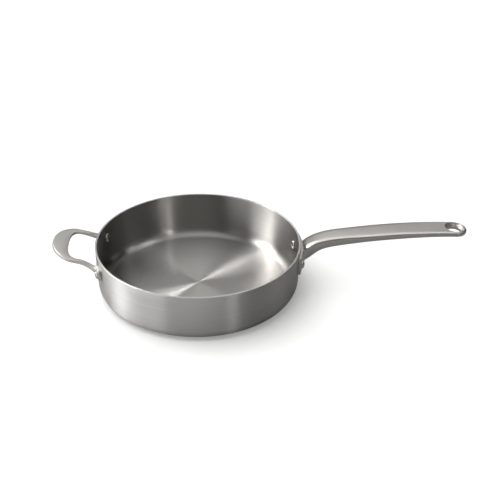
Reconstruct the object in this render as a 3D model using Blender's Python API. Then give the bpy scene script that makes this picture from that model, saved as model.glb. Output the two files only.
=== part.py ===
"""Stainless steel saute pan: a straight-sided clad body, a long cast handle and a cast helper handle.

Four solid rivets hold the two handles on. Units are metres and +Z is up. The origin is the middle of
the flat underside. The long handle points along +X and the helper handle along -X.
"""

import math

import bmesh
import bpy
from mathutils import Matrix, Vector
from mathutils.geometry import interpolate_bezier

# Pan body, drawn from one bonded sheet
RIM_DIAMETER = 0.270
BODY_HEIGHT = 0.0665
WALL = 0.0025
WALL_DRAFT = math.radians(1.8)
BASE_CORNER_RADIUS = 0.016
RIM_ROUNDING = 0.0005

# Gaps kept between pieces that touch on the real pan
SEAT_GAP = 0.0003
SHANK_CLEARANCE = 0.0003
HEAD_CLEARANCE = 0.0004
SPOT_FACE_LIFT = 0.0001

# Rivets, one pair for each handle
LONG_RIVETS_BELOW_RIM = 0.0229
HELPER_RIVETS_BELOW_RIM = 0.0192
SHANK_DIAMETER = 0.0055
OUTER_HEAD_DIAMETER = 0.011
OUTER_HEAD_RISE = 0.0029
INNER_HEAD_DIAMETER = 0.0125
INNER_HEAD_RISE = 0.0026
HEAD_EDGE = 0.0006

# Flange of the long handle, a saddle plate measured along the wall
LONG_RIVET_SPREAD = 0.0512
FLANGE_END_MARGIN = 0.0138
FLANGE_ABOVE_RIVETS = 0.0165
FLANGE_BELOW_RIVETS = 0.0085
FLANGE_THICKNESS = 0.0036
FLANGE_CORNER_RADIUS = 0.004
FLANGE_EDGE_ROUNDING = 0.0008

# Side view of the long handle: a steep neck, then a long grip that bows slightly
ROOT_ABOVE_RIVETS = 0.0024
ROOT_ANGLE = math.radians(45)
NECK_RUN = 0.048
NECK_RISE = 0.0232
NECK_END_ANGLE = math.radians(7.5)
GRIP_RUN = 0.1726
GRIP_RISE = 0.0077
TIP_ANGLE = math.radians(-4)
ROOT_PULL = 0.020
NECK_PULL = 0.026
GRIP_PULL = 0.060
TIP_PULL = 0.050
UPRIGHT_ROOT_LENGTH = 0.020

# Width and depth of the long handle, at the flange, the waist, the grip and the tip
ROOT_WIDTH, ROOT_DEPTH = 0.0275, 0.0190
WAIST_AT, WAIST_WIDTH, WAIST_DEPTH = 0.038, 0.0285, 0.0153
GRIP_AT, GRIP_WIDTH, GRIP_DEPTH = 0.115, 0.0322, 0.0114
TIP_WIDTH, TIP_DEPTH = 0.0322, 0.0090
ROOT_FLARE, ROOT_FLARE_LENGTH = 0.0020, 0.009
CROWN_SHARE = 0.40
CROWN_SQUARENESS = 4.0
BELLY_SQUARENESS = 3.0

# Hanging hole, a dished ring concentric with the round tip
HOLE_DIAMETER = 0.019
DISH_DIAMETER = 0.0262
DISH_DEPTH = 0.0046
HOLE_LIP = 0.0008

# Helper handle: a flat D loop in a plane that slopes up from the wall
HELPER_RIVET_SPREAD = 0.096
HELPER_ABOVE_RIVETS = 0.0088
HELPER_SLOPE = math.radians(14)
LOOP_REACH = 0.0563
LOOP_WIDTH = 0.081
LOOP_ROUND_LENGTH = 0.031
GRIP_HOLE_REACH = 0.0355
GRIP_HOLE_WIDTH = 0.068
GRIP_HOLE_ROUND_LENGTH = 0.0155
GRIP_HOLE_SQUARENESS = 2.8
LOOP_DEPTH = 0.0042
LOOP_EDGE_ROUNDING = 0.0014

# Where the helper handle's legs leave the flat loop and bend down and apart to the feet
LEG_BEND_START = 0.018
LEG_BEND_END = -0.014
LEG_DROP = 0.007
LEG_SPLAY_OUTSIDE = 0.011
LEG_SPLAY_INSIDE = 0.008
LEG_SWELL = 0.004

# Feet of the helper handle, teardrop plates measured along the wall
FOOT_RADIUS = 0.0084
FOOT_NECK_RADIUS = 0.0070
FOOT_NECK_IN = 0.0065
FOOT_NECK_UP = 0.0030
FOOT_THICKNESS = 0.0032
FOOT_EDGE_ROUNDING = 0.0008

# How finely round shapes are divided
BODY_SEGMENTS = 104
SEAT_SEGMENTS = 128
HOLE_SEGMENTS = 24
RING_SEGMENTS = 40
CORNER_STEPS = 9
LEG_STEPS = 8
EDGE_STEPS = 3
SECTION_POINTS = 28
WRAP_STRIP = 0.005
STOCK = 0.0015

LONG_RIVET_HEIGHT = BODY_HEIGHT - LONG_RIVETS_BELOW_RIM
HELPER_RIVET_HEIGHT = BODY_HEIGHT - HELPER_RIVETS_BELOW_RIM


def clear_scene():
    """Remove every object that is in the file at the start."""
    for obj in list(bpy.data.objects):
        bpy.data.objects.remove(obj, do_unlink=True)


def steel(name, colour, roughness):
    """A stainless steel finish."""
    material = bpy.data.materials.new(name)
    material.use_nodes = True
    shader = material.node_tree.nodes["Principled BSDF"]
    shader.inputs["Base Color"].default_value = (*colour, 1.0)
    shader.inputs["Metallic"].default_value = 1.0
    shader.inputs["Roughness"].default_value = roughness
    return material


def make_object(name, mesh_data, material=None):
    """Turn a bmesh into a named object, shaded smooth. Without a material it is a hidden helper."""
    bmesh.ops.recalc_face_normals(mesh_data, faces=mesh_data.faces)
    mesh = bpy.data.meshes.new(name)
    mesh_data.to_mesh(mesh)
    mesh_data.free()
    obj = bpy.data.objects.new(name, mesh)
    bpy.context.scene.collection.objects.link(obj)
    if material is None:
        obj.hide_render = True
        obj.display_type = "WIRE"
    else:
        mesh.materials.append(material)
        mesh.shade_smooth()
        mesh.set_sharp_from_angle(angle=math.radians(35))
    return obj


def boolean(obj, other, operation):
    """Join another object to this one, or cut it away."""
    modifier = obj.modifiers.new(f"{operation.lower()}_{other.name}"[:60], "BOOLEAN")
    modifier.operation = operation
    modifier.solver = "EXACT"
    modifier.object = other


def arc(centre, radius, start, end, steps):
    """Points on an arc, both ends included."""
    points = []
    for step in range(steps + 1):
        angle = start + (end - start) * step / steps
        points.append((centre[0] + radius * math.cos(angle), centre[1] + radius * math.sin(angle)))
    return points


def turned(profile, segments, axis=(0, 0, 1)):
    """Spin a profile of (radius, along) points once round the Z axis, or round the X axis."""
    shape = bmesh.new()
    if axis[2]:
        corners = [shape.verts.new((radius, 0, along)) for radius, along in profile]
    else:
        corners = [shape.verts.new((along, radius, 0)) for radius, along in profile]
    edges = [shape.edges.new(pair) for pair in zip(corners, corners[1:])]
    bmesh.ops.spin(
        shape,
        geom=corners + edges,
        cent=(0, 0, 0),
        axis=axis,
        angle=2 * math.pi,
        steps=segments,
        use_merge=True,
    )
    bmesh.ops.remove_doubles(shape, verts=shape.verts, dist=1e-6)
    return shape


def lofted(rings):
    """Skin a row of closed rings with equal point counts and cap both ends."""
    shape = bmesh.new()
    loops = [[shape.verts.new(point) for point in ring] for ring in rings]
    count = len(loops[0])
    for near, far in zip(loops, loops[1:]):
        for index in range(count):
            after = (index + 1) % count
            shape.faces.new((near[index], near[after], far[after], far[index]))
    shape.faces.new(loops[0])
    shape.faces.new(loops[-1])
    return shape


def wall_radius(height):
    """Outer radius of the drafted wall at a height above the table."""
    return RIM_DIAMETER / 2 - (BODY_HEIGHT - height) * math.tan(WALL_DRAFT)


def on_wall(azimuth, height):
    """Frame on the outer face of the wall, with its X axis square to the wall and outwards."""
    turn = Matrix.Rotation(azimuth, 4, "Z")
    place = Matrix.Translation((wall_radius(height), 0, height))
    tilt = Matrix.Rotation(WALL_DRAFT, 4, "Y")
    return turn @ place @ tilt


def rivet_azimuth(spread, height):
    """Half the angle between two rivets whose spread is measured round the wall."""
    return spread / 2 / wall_radius(height)


def pan_profile():
    """Section of the body from the middle of the floor, over the rim, to the middle of the base."""
    rim = RIM_DIAMETER / 2
    inner_rim = rim - WALL / math.cos(WALL_DRAFT)
    drawn_in = (BODY_HEIGHT - BASE_CORNER_RADIUS) * math.tan(WALL_DRAFT)
    corner = (rim - drawn_in - BASE_CORNER_RADIUS / math.cos(WALL_DRAFT), BASE_CORNER_RADIUS)
    down, side = math.radians(-90), -WALL_DRAFT
    edge_height = BODY_HEIGHT - RIM_ROUNDING
    return [
        (0, WALL),
        *arc(corner, BASE_CORNER_RADIUS - WALL, down, side, CORNER_STEPS),
        *arc((inner_rim + RIM_ROUNDING, edge_height), RIM_ROUNDING, math.pi, math.pi / 2, EDGE_STEPS),
        *arc((rim - RIM_ROUNDING, edge_height), RIM_ROUNDING, math.pi / 2, 0, EDGE_STEPS),
        *arc(corner, BASE_CORNER_RADIUS, side, down, CORNER_STEPS),
        (0, 0),
    ]


def seat_form():
    """The outside of the wall grown by the seat gap, which shapes the backs of both handles."""
    low, high = -BODY_HEIGHT, 2 * BODY_HEIGHT
    gap = SEAT_GAP / math.cos(WALL_DRAFT)
    profile = [(0, high), (wall_radius(high) + gap, high), (wall_radius(low) + gap, low), (0, low)]
    return make_object("seat_form", turned(profile, SEAT_SEGMENTS))


def rivet_shape(plate, height):
    """Solid rivet along X through the wall and a plate of this thickness, origin on the wall's outside."""
    shank = SHANK_DIAMETER / 2
    inner, outer = INNER_HEAD_DIAMETER / 2, OUTER_HEAD_DIAMETER / 2
    hollow = inner**2 / (2 * (wall_radius(height) - WALL))
    inner_seat = -WALL - SEAT_GAP - hollow
    outer_seat = SEAT_GAP + plate + SEAT_GAP
    profile = [
        *dome(inner, INNER_HEAD_RISE, inner_seat, -1)[::-1],
        (inner, inner_seat),
        (shank, inner_seat),
        (shank, outer_seat),
        (outer, outer_seat),
        *dome(outer, OUTER_HEAD_RISE, outer_seat, 1),
    ]
    return turned(profile, HOLE_SEGMENTS, axis=(1, 0, 0))


def dome(radius, rise, seat, side):
    """Domed top of a rivet head, from its edge to its middle."""
    points = []
    for step in range(EDGE_STEPS + 2):
        angle = math.pi / 2 * step / (EDGE_STEPS + 1)
        along = seat + side * (HEAD_EDGE + (rise - HEAD_EDGE) * math.sin(angle))
        points.append((radius * math.cos(angle) if angle < math.pi / 2 else 0, along))
    return points


def rivet_cutter(name, azimuth, height, plate):
    """Shank hole through the wall and the plate, with a spot face that keeps the outer head clear."""
    shank = SHANK_DIAMETER / 2 + SHANK_CLEARANCE
    head = OUTER_HEAD_DIAMETER / 2 + HEAD_CLEARANCE
    face = SEAT_GAP + plate + SPOT_FACE_LIFT
    far = face + OUTER_HEAD_RISE + 2 * HEAD_CLEARANCE
    profile = [(0, -3 * WALL), (shank, -3 * WALL), (shank, face), (head, face), (head, far), (0, far)]
    cutter = make_object(name, turned(profile, HOLE_SEGMENTS, axis=(1, 0, 0)))
    cutter.matrix_world = on_wall(azimuth, height)
    return cutter


def wrapped_plate(name, outline, middle, thickness, rounding):
    """Plate with a flat outline of (along, above the middle) points, bent round the wall at azimuth 0."""
    shape = bmesh.new()
    back = [shape.verts.new((-STOCK, along, up)) for along, up in outline]
    blank = shape.faces.new(back)
    front = bmesh.ops.extrude_face_region(shape, geom=[blank])["geom"]
    front_points = [item for item in front if isinstance(item, bmesh.types.BMVert)]
    bmesh.ops.translate(shape, verts=front_points, vec=(STOCK + SEAT_GAP + thickness, 0, 0))
    front_edges = [edge for edge in shape.edges if all(corner in front_points for corner in edge.verts)]
    bmesh.ops.bevel(shape, geom=front_edges, offset=rounding, segments=2, profile=0.5, affect="EDGES")
    first = min(along for along, _ in outline)
    last = max(along for along, _ in outline)
    strips = math.ceil((last - first) / WRAP_STRIP)
    for strip in range(1, strips):
        cut = first + (last - first) * strip / strips
        everything = shape.verts[:] + shape.edges[:] + shape.faces[:]
        bmesh.ops.bisect_plane(shape, geom=everything, plane_co=(0, cut, 0), plane_no=(0, 1, 0), dist=1e-6)
    for corner in shape.verts:
        depth, along, up = corner.co
        height = middle + up
        azimuth = along / wall_radius(middle)
        radius = wall_radius(height) + depth
        corner.co = (radius * math.cos(azimuth), radius * math.sin(azimuth), height)
    return make_object(name, shape)


def rounded_rectangle(left, right, low, high, radius):
    """Outline of a rectangle with round corners."""
    radius = min(radius, (right - left) / 2.1, (high - low) / 2.1)
    corners = [
        ((right - radius, high - radius), 0),
        ((left + radius, high - radius), 1),
        ((left + radius, low + radius), 2),
        ((right - radius, low + radius), 3),
    ]
    points = []
    for centre, quarter in corners:
        start = quarter * math.pi / 2
        points += arc(centre, radius, start, start + math.pi / 2, EDGE_STEPS + 1)
    return points


def teardrop(large, large_radius, small, small_radius):
    """Outline of two circles joined by their common tangents."""
    across, up = small[0] - large[0], small[1] - large[1]
    heading = math.atan2(up, across)
    swing = math.acos((large_radius - small_radius) / math.hypot(across, up))
    big_end = arc(large, large_radius, heading + swing, heading + 2 * math.pi - swing, 2 * CORNER_STEPS)
    small_end = arc(small, small_radius, heading - swing, heading + swing, CORNER_STEPS)
    return big_end + small_end


def handle_path():
    """Centreline of the long handle in side view, as (distance, x, z, angle) rows close together."""
    root_height = LONG_RIVET_HEIGHT + ROOT_ABOVE_RIVETS
    root = Vector((wall_radius(root_height) + SEAT_GAP + FLANGE_THICKNESS / 3, 0, root_height))
    neck = root + Vector((NECK_RUN, 0, NECK_RISE))
    tip = neck + Vector((GRIP_RUN, 0, GRIP_RISE))

    def heading(angle, length):
        return Vector((math.cos(angle) * length, 0, math.sin(angle) * length))

    points = interpolate_bezier(
        root, root + heading(ROOT_ANGLE, ROOT_PULL), neck - heading(NECK_END_ANGLE, NECK_PULL), neck, 60
    )
    points += interpolate_bezier(
        neck, neck + heading(NECK_END_ANGLE, GRIP_PULL), tip - heading(TIP_ANGLE, TIP_PULL), tip, 120
    )[1:]
    rows, distance = [], 0.0
    for before, after in zip(points, points[1:]):
        step = after - before
        rows.append((distance, before.x, before.z, math.atan2(step.z, step.x)))
        distance += step.length
    rows.append((distance, points[-1].x, points[-1].z, TIP_ANGLE))
    return rows


def along_path(rows, distance):
    """Point and angle of the path at a distance from its start."""
    for before, after in zip(rows, rows[1:]):
        if distance <= after[0]:
            share = (distance - before[0]) / (after[0] - before[0])
            return [a + (b - a) * share for a, b in zip(before[1:], after[1:])]
    return list(rows[-1][1:])


def smooth_step(share):
    """Ease from 0 to 1."""
    share = min(max(share, 0.0), 1.0)
    return share * share * (3 - 2 * share)


def handle_size(distance, length):
    """Width and depth of the long handle at a distance from the flange."""
    stations = [
        (0.0, ROOT_WIDTH, ROOT_DEPTH),
        (WAIST_AT, WAIST_WIDTH, WAIST_DEPTH),
        (GRIP_AT, GRIP_WIDTH, GRIP_DEPTH),
        (length - TIP_WIDTH / 2, TIP_WIDTH, TIP_DEPTH),
    ]
    width, depth = stations[-1][1:]
    for before, after in zip(stations, stations[1:]):
        if before[0] <= distance < after[0]:
            share = smooth_step((distance - before[0]) / (after[0] - before[0]))
            width = before[1] + (after[1] - before[1]) * share
            depth = before[2] + (after[2] - before[2]) * share
            break
    flare = ROOT_FLARE * max(0.0, 1 - distance / ROOT_FLARE_LENGTH) ** 2
    return width + flare, depth + flare


def grip_section(width, depth, into_tip):
    """Pebble-shaped section as (across, up) points. into_tip runs from 0 to 1 over the round tip."""
    points = []
    for index in range(SECTION_POINTS):
        turn = 2 * math.pi * (index + 0.5) / SECTION_POINTS
        upper = math.sin(turn) > 0
        squareness = CROWN_SQUARENESS if upper else BELLY_SQUARENESS
        share = CROWN_SHARE if upper else CROWN_SHARE - 1
        across = math.copysign(abs(math.cos(turn)) ** (2 / squareness), math.cos(turn))
        reach = into_tip**2 + (1 - into_tip**2) * across**2
        up = depth * share * max(0.0, 1 - reach ** (squareness / 2)) ** (1 / squareness)
        points.append((across * width / 2 * math.sqrt(1 - into_tip**2), up))
    return points


def long_handle_shape():
    """Loft of the neck and the grip, with its round tip."""
    rows = handle_path()
    length = rows[-1][0]
    tip_start = length - TIP_WIDTH / 2
    neck_steps, grip_steps, tip_steps = 12, 14, 9
    stations = [(WAIST_AT * step / neck_steps, 0.0) for step in range(neck_steps)]
    stations += [(WAIST_AT + (tip_start - WAIST_AT) * step / grip_steps, 0.0) for step in range(grip_steps)]
    for step in range(tip_steps):
        into_tip = math.sin(math.radians(84) * step / (tip_steps - 1))
        stations.append((tip_start + TIP_WIDTH / 2 * into_tip, into_tip))
    rings = []
    for distance, into_tip in stations:
        x, z, angle = along_path(rows, distance)
        lean = angle * smooth_step(distance / UPRIGHT_ROOT_LENGTH)
        width, depth = handle_size(distance, length)
        ring = []
        for across, up in grip_section(width, depth, into_tip):
            ring.append((x - up * math.sin(lean), across, z + up * math.cos(lean)))
        rings.append(ring)
    return lofted(rings)


def hanging_hole_cutter():
    """Turned cutter for the hanging hole: a dish from above, a straight bore and a lip below."""
    rows = handle_path()
    x, z, angle = along_path(rows, rows[-1][0] - TIP_WIDTH / 2)
    top, bottom = TIP_DEPTH * CROWN_SHARE, -TIP_DEPTH * (1 - CROWN_SHARE)
    bore, dish = HOLE_DIAMETER / 2, DISH_DIAMETER / 2
    above = 2 * DISH_DEPTH
    flare = (dish - bore) / DISH_DEPTH
    profile = [
        (0, top + above),
        (dish + flare * above, top + above),
        (bore, top - DISH_DEPTH),
        (bore, bottom + HOLE_LIP),
        (bore + 3 * HOLE_LIP, bottom - 2 * HOLE_LIP),
        (0, bottom - 2 * HOLE_LIP),
    ]
    cutter = make_object("hanging_hole", turned(profile, RING_SEGMENTS))
    cutter.matrix_world = Matrix.Translation((x, 0, z)) @ Matrix.Rotation(-angle, 4, "Y")
    return cutter


def loop_point(out, across, up):
    """Point of the helper handle's sloping plane, measured from the wall on the handle's axis."""
    height = HELPER_RIVET_HEIGHT + HELPER_ABOVE_RIVETS
    x = wall_radius(height) + out * math.cos(HELPER_SLOPE) - up * math.sin(HELPER_SLOPE)
    z = height + out * math.sin(HELPER_SLOPE) + up * math.cos(HELPER_SLOPE)
    return (x, across, z)


def loop_stations():
    """Half of the helper loop, from the middle of its end to the wall.

    Each row has an outer and an inner (out, across) point, how far it has dropped below the loop's
    plane, and how much deeper its section has grown.
    """
    half, hole_half = LOOP_WIDTH / 2, GRIP_HOLE_WIDTH / 2
    outer_turn = LOOP_REACH - LOOP_ROUND_LENGTH
    inner_turn = GRIP_HOLE_REACH - GRIP_HOLE_ROUND_LENGTH
    power = 2 / GRIP_HOLE_SQUARENESS
    rows = []
    for step in range(CORNER_STEPS + 1):
        angle = math.pi / 2 * step / CORNER_STEPS
        along, side = max(0.0, math.cos(angle)), math.sin(angle)
        outer = (outer_turn + LOOP_ROUND_LENGTH * along, half * side)
        inner = (inner_turn + GRIP_HOLE_ROUND_LENGTH * along**power, hole_half * side**power)
        rows.append((outer, inner, 0.0, 0.0))
    rows.append(((LEG_BEND_START, half), (LEG_BEND_START, hole_half), 0.0, 0.0))
    for step in range(1, LEG_STEPS + 1):
        share = step / LEG_STEPS
        out = LEG_BEND_START + (LEG_BEND_END - LEG_BEND_START) * share
        outer = (out, half + LEG_SPLAY_OUTSIDE * share**2)
        inner = (out, hole_half + LEG_SPLAY_INSIDE * share**2)
        rows.append((outer, inner, LEG_DROP * share**1.5, LEG_SWELL * share**2))
    return rows


def helper_loop_shape():
    """Loft of the D loop from one foot round to the other."""
    half_rows = loop_stations()
    both = [(row, -1) for row in reversed(half_rows[1:])] + [(row, 1) for row in half_rows]
    rings = []
    for (outer, inner, drop, swell), side in both:
        width = math.dist(outer, inner)
        middle = [(a + b) / 2 for a, b in zip(outer, inner)]
        across = [(a - b) / width for a, b in zip(outer, inner)]
        depth = LOOP_DEPTH + swell
        top, bottom = LOOP_DEPTH / 2, LOOP_DEPTH / 2 - depth
        section = rounded_rectangle(-width / 2, width / 2, bottom, top, LOOP_EDGE_ROUNDING)
        ring = []
        for offset, up in section:
            out, aside = middle[0] + across[0] * offset, middle[1] + across[1] * offset
            ring.append(loop_point(out, side * aside, up - drop))
        rings.append(ring)
    return lofted(rings)


def build_body(finish, cutters):
    """The pan body with its rivet holes."""
    body = make_object("pan_body", turned(pan_profile(), BODY_SEGMENTS), finish)
    for cutter in cutters:
        boolean(body, cutter, "DIFFERENCE")
    return body


def build_long_handle(finish, seat, cutters):
    """The long handle, one casting with its flange."""
    handle = make_object("long_handle", long_handle_shape(), finish)
    end = LONG_RIVET_SPREAD / 2 + FLANGE_END_MARGIN
    outline = rounded_rectangle(-end, end, -FLANGE_BELOW_RIVETS, FLANGE_ABOVE_RIVETS, FLANGE_CORNER_RADIUS)
    flange = wrapped_plate(
        "long_handle_flange", outline, LONG_RIVET_HEIGHT, FLANGE_THICKNESS, FLANGE_EDGE_ROUNDING
    )
    boolean(handle, flange, "UNION")
    boolean(handle, seat, "DIFFERENCE")
    boolean(handle, hanging_hole_cutter(), "DIFFERENCE")
    for cutter in cutters:
        boolean(handle, cutter, "DIFFERENCE")
    return handle


def build_helper_handle(finish, seat, cutters):
    """The helper handle, one casting with two feet, turned to point along -X."""
    handle = make_object("helper_handle", helper_loop_shape(), finish)
    handle.rotation_euler.z = math.pi
    for name, side in (("helper_foot_front", 1), ("helper_foot_back", -1)):
        rivet = (side * HELPER_RIVET_SPREAD / 2, 0.0)
        neck = (side * (HELPER_RIVET_SPREAD / 2 - FOOT_NECK_IN), FOOT_NECK_UP)
        outline = teardrop(rivet, FOOT_RADIUS, neck, FOOT_NECK_RADIUS)
        foot = wrapped_plate(name, outline, HELPER_RIVET_HEIGHT, FOOT_THICKNESS, FOOT_EDGE_ROUNDING)
        foot.rotation_euler.z = math.pi
        boolean(handle, foot, "UNION")
    boolean(handle, seat, "DIFFERENCE")
    for cutter in cutters:
        boolean(handle, cutter, "DIFFERENCE")
    return handle


def build_rivets(finish, places, height, plate, mesh_name):
    """Rivets that share one mesh, each at its own azimuth."""
    shape = rivet_shape(plate, height)
    rivets = []
    for name, azimuth in places:
        if rivets:
            rivet = bpy.data.objects.new(name, rivets[0].data)
            bpy.context.scene.collection.objects.link(rivet)
        else:
            rivet = make_object(name, shape, finish)
            rivet.data.name = mesh_name
        rivet.matrix_world = on_wall(azimuth, height)
        rivets.append(rivet)
    return rivets


def main():
    clear_scene()
    brushed = steel("brushed_stainless", (0.52, 0.51, 0.49), 0.32)
    satin = steel("satin_cast_stainless", (0.55, 0.54, 0.52), 0.38)
    polished = steel("polished_rivet_steel", (0.60, 0.59, 0.58), 0.22)

    long_swing = rivet_azimuth(LONG_RIVET_SPREAD, LONG_RIVET_HEIGHT)
    helper_swing = rivet_azimuth(HELPER_RIVET_SPREAD, HELPER_RIVET_HEIGHT)
    long_places = [("long_handle_rivet_front", -long_swing), ("long_handle_rivet_back", long_swing)]
    helper_places = [
        ("helper_handle_rivet_front", math.pi + helper_swing),
        ("helper_handle_rivet_back", math.pi - helper_swing),
    ]
    seat = seat_form()
    long_cutters = [
        rivet_cutter(f"{name}_hole", azimuth, LONG_RIVET_HEIGHT, FLANGE_THICKNESS)
        for name, azimuth in long_places
    ]
    helper_cutters = [
        rivet_cutter(f"{name}_hole", azimuth, HELPER_RIVET_HEIGHT, FOOT_THICKNESS)
        for name, azimuth in helper_places
    ]

    pieces = [
        build_body(brushed, long_cutters + helper_cutters),
        build_long_handle(satin, seat, long_cutters),
        build_helper_handle(satin, seat, helper_cutters),
        *build_rivets(polished, long_places, LONG_RIVET_HEIGHT, FLANGE_THICKNESS, "long_handle_rivet"),
        *build_rivets(polished, helper_places, HELPER_RIVET_HEIGHT, FOOT_THICKNESS, "helper_handle_rivet"),
    ]
    pan = bpy.data.objects.new("saute_pan", None)
    bpy.context.scene.collection.objects.link(pan)
    for piece in pieces:
        piece.parent = pan


main()
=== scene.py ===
"""Looks of the stainless saute pan: its fine pieces, finishes, stage, lights and camera.

Laid out as a Blender add-on and run as a script. Units are metres, +Z is up, the long handle points
along +X and the camera stands on the -Y side. Each fine piece has its CAD solid's sizes, to 0.1 mm.
"""

import math

import bmesh
import bpy
from bpy.props import FloatProperty, FloatVectorProperty, PointerProperty
from mathutils import Matrix, Vector
from mathutils.geometry import interpolate_bezier


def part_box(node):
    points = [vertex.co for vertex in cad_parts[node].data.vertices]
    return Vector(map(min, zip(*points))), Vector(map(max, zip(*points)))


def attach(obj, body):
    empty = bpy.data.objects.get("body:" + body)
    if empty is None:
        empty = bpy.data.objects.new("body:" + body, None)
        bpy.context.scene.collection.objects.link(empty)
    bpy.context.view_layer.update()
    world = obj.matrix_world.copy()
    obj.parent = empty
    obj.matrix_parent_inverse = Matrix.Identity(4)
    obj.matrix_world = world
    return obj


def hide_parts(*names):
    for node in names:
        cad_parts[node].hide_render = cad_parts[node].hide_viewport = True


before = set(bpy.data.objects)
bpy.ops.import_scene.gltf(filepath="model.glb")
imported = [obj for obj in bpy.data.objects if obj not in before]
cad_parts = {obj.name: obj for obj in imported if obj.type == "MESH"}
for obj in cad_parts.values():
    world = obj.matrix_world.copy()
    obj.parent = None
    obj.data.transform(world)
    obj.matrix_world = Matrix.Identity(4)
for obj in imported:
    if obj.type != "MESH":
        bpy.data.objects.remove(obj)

bl_info = {
    "name": "Saute Pan",
    "version": (1, 0, 0),
    "blender": (4, 5, 0),
    "location": "View3D > Sidebar > Saute Pan",
    "description": "Builds a stainless saute pan with two riveted handles on a lit stage",
    "category": "Object",
}

PAN_LOW, PAN_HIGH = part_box("pan_body")
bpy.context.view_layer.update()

# How finely round shapes are divided
BODY_SEGMENTS = 288
SEAT_SEGMENTS = 360
HOLE_SEGMENTS = 96
FOOT_SEGMENTS = 64
RIVET_SEGMENTS = 48
SECTION_CORNERS = 72
CORNER_STEPS = 18
EDGE_STEPS = 4
WALL_STEPS = 8
FLANGE_STEPS = 60
TIP_STEPS = 16
DISH_STEPS = 8
LOOP_STEPS = 30
LEG_STEPS = 20

# Edges sharper than the first stay crisp, and edges sharper than the second are bevelled
SMOOTH_ANGLE = math.radians(32)
CREASE_ANGLE = math.radians(50)

# Gaps that the CAD solids keep between pieces that touch on the real pan
SEAT_GAP = 0.0003
SHANK_CLEARANCE = 0.0003
HEAD_CLEARANCE = 0.0004
SPOT_FACE_LIFT = 0.0001

# Extra metal behind the flange and the feet, which the seat form cuts away
STOCK = 0.0015
# How far a shank's cutter reaches in from the wall's outer face, and out from its spot face
CUTTER_IN, CUTTER_OUT = 0.0075, 0.004


def length(millimetres, description=""):
    """A length setting, given in millimetres."""
    return FloatProperty(description=description, default=millimetres / 1000, unit="LENGTH", precision=5)


def angle(degrees, description=""):
    """An angle setting, given in degrees."""
    return FloatProperty(description=description, default=math.radians(degrees), unit="ROTATION")


def amount(value, description=""):
    """A plain number setting."""
    return FloatProperty(description=description, default=value, precision=3)


def linear_colour(code):
    """An sRGB hex colour such as #A1B2C3 as linear red, green and blue."""
    channels = [int(code[place:place + 2], 16) / 255 for place in (1, 3, 5)]
    return tuple(c / 12.92 if c <= 0.04045 else ((c + 0.055) / 1.055) ** 2.4 for c in channels)


def colour(code, description=""):
    """A colour setting, given as an sRGB hex code and kept as linear values."""
    return FloatVectorProperty(
        description=description, default=linear_colour(code), subtype="COLOR", size=3, min=0, max=1
    )


class PanBodySizes(bpy.types.PropertyGroup):
    """Sizes of the drawn body."""

    rim_diameter: FloatProperty(description="Outside", default=PAN_HIGH[0] - PAN_LOW[0], unit="LENGTH")
    height: FloatProperty(description="From the table to the rim", default=PAN_HIGH[2], unit="LENGTH")
    wall: length(2.5, "Thickness of the bonded sheet")
    draft: angle(1.8, "Lean of the wall outwards")
    base_corner: length(16, "Outside, between the wall and the base")
    rim_rounding: length(0.5, "Radius of the rim's two edges")


class LongHandleSizes(bpy.types.PropertyGroup):
    """Sizes of the long handle and its flange."""

    rivets_below_rim: length(22.9)
    rivet_spread: length(51.2, "Between the rivets, round the wall")
    flange_margin: length(13.8, "Flange beyond each rivet")
    flange_above: length(16.5, "Flange above the rivets' line")
    flange_below: length(8.5)
    flange_thickness: length(3.6)
    flange_corner: length(4)
    flange_rounding: length(0.8, "Radius of the flange's front edge")
    root_above: length(2.4, "Start of the neck above the rivets' line")
    root_angle: angle(45, "Slope of the neck at the flange")
    neck_run: length(48, "Level reach of the neck")
    neck_rise: length(23.2)
    neck_angle: angle(7.5, "Slope of the neck at the grip")
    grip_run: length(172.55)
    grip_rise: length(7.68)
    tip_angle: angle(-4)
    root_width: length(27.5)
    root_depth: length(19)
    waist_at: length(38, "From the flange")
    waist_width: length(28.5)
    waist_depth: length(15.3)
    grip_at: length(115, "From the flange to the full grip")
    grip_width: length(32.2)
    grip_depth: length(11.4)
    tip_width: length(32.2)
    tip_depth: length(9)
    fillet: length(2.6, "Radius between the neck and the flange")
    hole_diameter: length(19)
    dish_diameter: length(26.2)
    dish_depth: length(4.6)
    hole_lip: length(0.8, "Rounding of the hole's lower edge")


class HelperHandleSizes(bpy.types.PropertyGroup):
    """Sizes of the helper handle and its feet."""

    rivets_below_rim: length(19.2)
    rivet_spread: length(96)
    above_rivets: length(8.8, "Loop above the rivets, at the wall")
    slope: angle(14)
    reach: length(56.2, "From the wall")
    width: length(81)
    round_length: length(31, "Length of the loop's rounded end")
    hole_reach: length(35.5)
    hole_width: length(68)
    hole_round: length(15.5)
    depth: length(4.2, "Thickness of the loop")
    edge_rounding: length(1.0)
    bend_start: length(18, "Start of the legs' bend")
    bend_end: length(-14, "Legs' ends, inside the wall")
    drop: length(7, "How far the legs bend down")
    splay_outside: length(11, "Spread of the legs at the feet")
    splay_inside: length(8)
    swell: length(4, "Extra depth of the legs at the feet")
    foot_radius: length(8.4)
    foot_neck: length(7, "Radius where the leg joins the foot")
    foot_neck_in: length(6.5, "Foot's neck inside the rivet")
    foot_neck_up: length(3, "Foot's neck above the rivet")
    foot_thickness: length(3.2)
    foot_rounding: length(0.8)


class RivetSizes(bpy.types.PropertyGroup):
    """Sizes of the four solid rivets."""

    shank: length(5.5)
    outer_head: length(11, "Diameter of the head outside the pan")
    outer_rise: length(2.9, "Height of the head outside the pan")
    inner_head: length(12.5)
    inner_rise: length(2.6)
    head_edge: length(0.6, "Height of a head's upright edge")


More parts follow.
